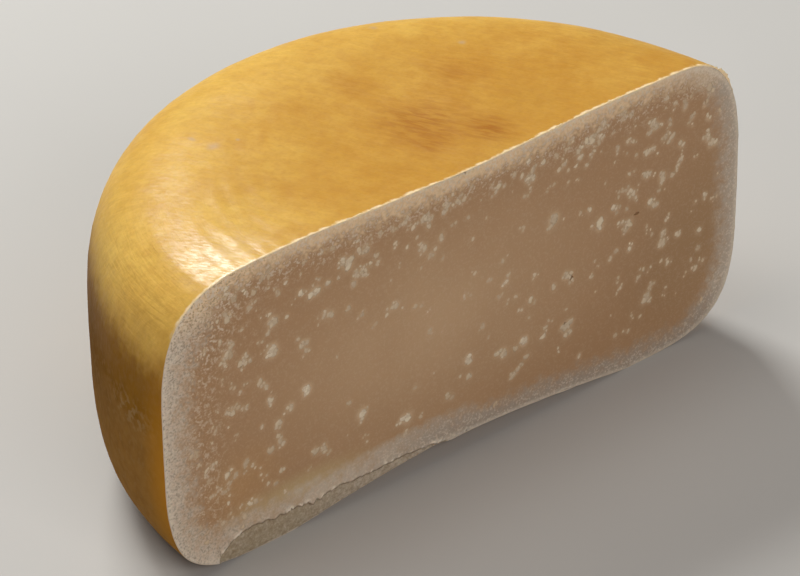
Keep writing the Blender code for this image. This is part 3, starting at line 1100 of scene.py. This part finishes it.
def coat_side(tree, place, split, base, mottle):
    """Painted shade down the side: amber, then dull and darker lower down; scuffed between, plain behind,
    and a painted glow of light through the coat by the cut.
    """
    height = plus(tree, split[2], swing(tree, mottle, 6.0 * MM))
    plain = mixed(tree, between(tree, height, 100.0 * MM, 60.0 * MM, 0.0, 0.8), base, COAT_BACK)
    # Painted shade: the side turns amber, then dull brown lower down, where it falls out of the light
    base = mixed(tree, between(tree, height, 93.0 * MM, 78.0 * MM), base, COAT_SHADE_AMBER)
    base = mixed(tree, between(tree, height, 66.0 * MM, 56.0 * MM), base, COAT_SHADE_DULL)
    worn = grain(tree, place, 2.4, 3.0)
    scuff = times(tree, spot(tree, place, *SCUFFED_SPOT), between(tree, worn, 0.35, 0.85))
    base = mixed(tree, times(tree, scuff, 0.55), base, COAT_SCUFF)
    # Painted shade: a dark patch on the lower left end
    base = patched(tree, place, base, *PAINTED_SHADE_PATCH)
    # Painted shade: mottled umber that darkens the side between these heights
    lower_painted_shade = times(tree, between(tree, height, 84.0 * MM, 66.0 * MM), mottle)
    base = mixed(tree, times(tree, lower_painted_shade, 0.42), base, COAT_SHADE_UMBER)
    base = mixed(tree, times(tree, between(tree, worn, 0.40, 0.95, 0.0, 0.20), lower_painted_shade), base, COAT_SCUFF)
    # Behind the left end the painted shade gives way to a plainer ochre-brown, a little darker lower down
    base = mixed(tree, between(tree, split[0], -92.0 * MM, -50.0 * MM), base, plain)
    # Painted glow: orange where light shines through the coat by the cut
    return patched(tree, place, base, *PAINTED_GLOW_BY_CUT)


def edge_colour(tree, place, split, base):
    """Dusty pale where the cut shows the coat's edge, and along the top of the cut a ragged bright cream
    line: partly the pale rind's colour, partly a painted highlight of the lit edge.
    """
    high = between(tree, split[2], 92.0 * MM, 104.0 * MM)
    behind_cut = maths(tree, "SUBTRACT", split[1], float(AXIS[1]))
    ragged = times(tree, grain(tree, place, 3.4, 3.0), 1.2 * MM)
    line = between(tree, plus(tree, behind_cut, ragged), 1.8 * MM, 0.6 * MM)
    shown = between(tree, mark(tree, "cut_edge"), 0.2, 0.8)
    share = maths(tree, "MAXIMUM", shown, times(tree, line, high))
    # Along the top the edge colour is partly painted highlight
    return mixed(tree, share, base, mixed(tree, high, RIND_PALE, COAT_EDGE_AND_HIGHLIGHT))


def coat_bump(tree, place, brush, fine):
    """Brush lines and shallow pits all over, and fine lines round the wheel by the left shoulder."""
    rings = use_group(tree, RINGS, {"Vector": place, "Width": 1.4 * MM, "Stretch": 8.0, "Contrast": 2.4})
    ringed = times(tree, spot(tree, place, *RINGED_SPOT), 2.6)
    ridges = plus(tree, times(tree, brush, 0.22), times(tree, fine, 0.28))
    ridges = plus(tree, ridges, times(tree, grain(tree, place, 2.0, 1.8), 0.4))
    return bump(tree, plus(tree, ridges, times(tree, rings, ringed)), 0.5, 0.14)


def coat_finish():
    """Yellow coat: glossy high up and most by the left shoulder, where brush lines break up its shine."""
    material, tree, place = new_material("coat_finish")
    split = split_up(tree, place)
    mottle = grain(tree, place, 4.5, 2.2)
    brush = brush_lines(tree, place, 2.0, 4.0)
    fine = brush_lines(tree, place, 0.6, 5.0)
    base = coat_side(tree, place, split, coat_top(tree, place, brush, mottle), mottle)
    upper = between(tree, split[2], 60.0 * MM, 90.0 * MM)
    dull = times(tree, maths(tree, "SUBTRACT", 1.0, upper), 0.22)
    gloss = plus(tree, times(tree, upper, 0.15), times(tree, spot(tree, place, *GLOSSY_SPOT), 0.54))
    lines = plus(tree, fine, times(tree, brush, 0.35))
    lines = between(tree, lines, 0.25, 1.10, 0.42, 1.65)
    looks = {
        "Base Color": edge_colour(tree, place, split, base),
        "Roughness": plus(tree, times(tree, mottle, 0.12), plus(tree, dull, 0.40)),
        "Coat Weight": plus(tree, times(tree, gloss, lines), 0.02),
        "Normal": coat_bump(tree, place, brush, fine),
        "IOR": 1.15,
        "Specular IOR Level": 0.02,
        "Coat Roughness": 0.29,
        "Subsurface Weight": 0.1,
        "Subsurface Radius": (1.0, 0.55, 0.18),
        "Subsurface Scale": 2.0 * MM,
    }
    return finished(material, looks)


def paste_colour(tree, place):
    """Light olive beige in the middle, browner outwards, with a warm and a pale stain low on the left."""
    paste = mixed(tree, spot(tree, place, *PASTE_HEART), PASTE_OUTER, PASTE_MIDDLE)
    paste = patched(tree, place, paste, *BROWN_PASTE)
    paste = mixed(tree, times(tree, grain(tree, place, 26.0, 2.0), 0.35), paste, PASTE_OUTER)
    paste = patched(tree, place, paste, *ORANGE_STAIN)
    return patched(tree, place, paste, *GREEN_STAIN)


def rind_colour(tree, place):
    """Dry zone under the coat: cream along the top, dusty beige at the left, greyer right and below."""
    split = split_up(tree, place)
    top = between(tree, split[2], 90.0 * MM, 106.0 * MM)
    right = between(tree, split[0], 70.0 * MM, 120.0 * MM, 0.0, 0.6)
    foot = between(tree, split[2], 34.0 * MM, 6.0 * MM)
    far_right = between(tree, split[0], -60.0 * MM, 0.0)
    grey = maths(tree, "MAXIMUM", right, times(tree, foot, far_right))
    rind = mixed(tree, grey, RIND_PALE, RIND_GREY)
    return mixed(tree, maths(tree, "SUBTRACT", top, right), rind, RIND_CREAM)


def speckled(tree, base, fine, coarse, depth, pepper):
    """The base with frosty specks where the grain is high and brown ones, times pepper, where it is low."""
    both = plus(tree, times(tree, fine, 0.65), times(tree, coarse, 0.35))
    light = times(tree, between(tree, both, 0.50, 0.90), depth)
    dark = times(tree, between(tree, both, 0.46, 0.12), times(tree, depth, pepper))
    return mixed(tree, dark, mixed(tree, light, base, RIND_FROST), RIND_DARK)


def paste_finish():
    """Paste with milky halos, the frosty dry zone round it, and the broken strip with crumbs and a painted
    shadow line under its edge.
    """
    material, tree, place = new_material("paste_finish")
    rim = mark(tree, "rim")
    mottled = mark(tree, "mottled")
    # Below 0 this mark is the painted shadow line under the strip's edge
    crumbs = mark(tree, "crumbs")
    coarse = grain(tree, place, 3.6, 2.4)
    middle = grain(tree, place, 1.5, 2.6)
    dust = grain(tree, place, 0.75, 3.0)
    aside = split_up(tree, place)[0]
    paste = mixed(tree, times(tree, mark(tree, "milky"), 0.5), paste_colour(tree, place), MILKY)
    uneven = plus(tree, swing(tree, coarse, 0.4), swing(tree, middle, plus(tree, mottled, 0.3)))
    pale = between(tree, plus(tree, rim, uneven), 1.15, 0.10)
    surface = mixed(tree, pale, paste, rind_colour(tree, place))
    frost = times(tree, between(tree, middle, 0.52, 0.95), mottled)
    surface = mixed(tree, times(tree, frost, 0.55), surface, RIND_FROST)
    surface = mixed(tree, between(tree, rim, 0.20, 0.02, 0.0, 0.45), surface, RIND_FROST)
    depth = plus(tree, times(tree, pale, 0.38), times(tree, mottled, 0.26))
    pepper = between(tree, aside, -64.0 * MM, -100.0 * MM, 0.2, 0.75)
    surface = speckled(tree, surface, dust, middle, plus(tree, depth, 0.08), pepper)
    surface = mixed(tree, between(tree, crumbs, 0.0, 0.35), surface, RIND_FROST)
    far = between(tree, aside, -86.0 * MM, -40.0 * MM)
    chip_share = plus(tree, times(tree, coarse, 0.4), times(tree, far, 0.6))
    chip = speckled(tree, mixed(tree, chip_share, CHIP_GREY, CHIP_PALE), middle, dust, 0.26, 1.3)
    surface = mixed(tree, mark(tree, "broken"), surface, chip)
    dry = between(tree, rim, 1.0, 0.1, 0.25, 1.25)
    looks = {
        # Painted shadow: darker line under the broken strip's ragged edge
        "Base Color": mixed(tree, between(tree, crumbs, 0.0, -1.0, 0.0, 0.45), surface, CHIP_SHADOW_LINE),
        "Roughness": plus(tree, times(tree, pale, 0.25), 0.55),
        "Normal": bump(tree, times(tree, plus(tree, middle, coarse), dry), 0.4, 0.25),
        "IOR": 1.42,
        "Subsurface Weight": 0.2,
        "Subsurface Radius": (1.0, 0.6, 0.35),
        "Subsurface Scale": 2.0 * MM,
    }
    return finished(material, looks)


def crystal_finish():
    """Cream flecks that melt into the paste's own colour at their borders."""
    material, tree, place = new_material("crystal_finish")
    border = mixed(tree, 0.4, paste_colour(tree, place), MILKY)
    fleck = mixed(tree, mark(tree, "bright"), CRYSTAL_DULL, CRYSTAL_BRIGHT)
    torn = plus(tree, mark(tree, "fade"), swing(tree, grain(tree, place, 0.7, 2.0), 0.5))
    looks = {
        "Base Color": mixed(tree, between(tree, torn, 0.22, 0.72), border, fleck),
        "Roughness": 0.55,
        "IOR": 1.4,
        "Subsurface Weight": 0.2,
        "Subsurface Radius": (1.0, 0.8, 0.6),
        "Subsurface Scale": 1.0 * MM,
    }
    return finished(material, looks)


def floor_finish():
    material, tree, place = new_material("floor_finish")
    cloud = grain(tree, place, 260.0, 1.0)
    return finished(material, {"Base Color": mixed(tree, cloud, FLOOR_PALE, FLOOR_DIM), "Roughness": 0.8})


# Stage


def make_floor():
    """A wide flat disc under the cheese: one face with its points on a ring."""
    angle = np.linspace(0.0, 2.0 * np.pi, FLOOR_SIDES, endpoint=False)
    ring = np.column_stack([np.cos(angle), np.sin(angle), np.zeros(FLOOR_SIDES)]) * FLOOR_RADIUS
    mesh = bpy.data.meshes.new("floor")
    mesh.from_pydata(ring.tolist(), [], [list(range(FLOOR_SIDES))])
    mesh.materials.append(floor_finish())
    new_object("floor", mesh)


def aim(obj, position, target):
    """Stands the object at position with its -Z pointing at target."""
    obj.location = position
    direction = Vector(target) - Vector(position)
    obj.rotation_mode = "QUATERNION"
    obj.rotation_quaternion = direction.to_track_quat("-Z", "Y")


def add_light(name, direction, distance, size, power, tint):
    """A soft rectangular light that shines at the cheese from the given direction."""
    data = bpy.data.lights.new(name, "AREA")
    data.shape = "RECTANGLE"
    data.size, data.size_y = size
    data.energy = power
    data.color = tint
    unit = np.array(direction) / np.linalg.norm(direction)
    aim(new_object(name, data), (LIGHT_TARGET + unit * distance).tolist(), LIGHT_TARGET.tolist())


def make_lights():
    for light in LIGHTS:
        add_light(*light)
    world = bpy.data.worlds.new("studio")
    world.use_nodes = True
    back = world.node_tree.nodes["Background"]
    back.inputs["Color"].default_value = WORLD_COLOUR
    back.inputs["Strength"].default_value = WORLD_STRENGTH
    bpy.context.scene.world = world


def make_camera():
    """Camera on a ball about its target, looking in, then rolled about its own line of sight."""
    data = bpy.data.cameras.new("camera")
    data.sensor_width = SENSOR_WIDTH
    data.lens = FOCAL_PIXELS / IMAGE_WIDTH * SENSOR_WIDTH
    data.clip_start = 0.05
    data.clip_end = 20.0
    camera = new_object("camera", data)
    level = math.cos(CAMERA_ELEVATION)
    across = math.sin(CAMERA_AZIMUTH) * level
    back = Vector((across, -math.cos(CAMERA_AZIMUTH) * level, math.sin(CAMERA_ELEVATION)))
    side = Vector((0.0, 0.0, 1.0)).cross(back).normalized()
    up = back.cross(side)
    rolled_side = side * math.cos(CAMERA_ROLL) + up * math.sin(CAMERA_ROLL)
    rolled_up = up * math.cos(CAMERA_ROLL) - side * math.sin(CAMERA_ROLL)
    turn = Matrix((rolled_side, rolled_up, back)).transposed()
    place = Vector(CAMERA_TARGET) + back * CAMERA_DISTANCE
    camera.matrix_world = Matrix.Translation(place) @ turn.to_4x4()
    bpy.context.scene.camera = camera


def main():
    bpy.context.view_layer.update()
    outline = wheel_outline()
    coat = make_coat(outline)
    paste = make_paste(outline)
    dig_holes(paste)
    rng = np.random.default_rng(77)
    flecks = crystal_flecks(outline, rng)
    mark_paste(paste, outline, flecks)
    crystals = make_crystals(flecks, rng)
    dress(coat, coat_finish())
    dress(paste, paste_finish())
    dress(crystals, crystal_finish())
    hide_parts(NODE)
    make_floor()
    make_lights()
    make_camera()
    bpy.context.scene.view_settings.view_transform = "Standard"


main()
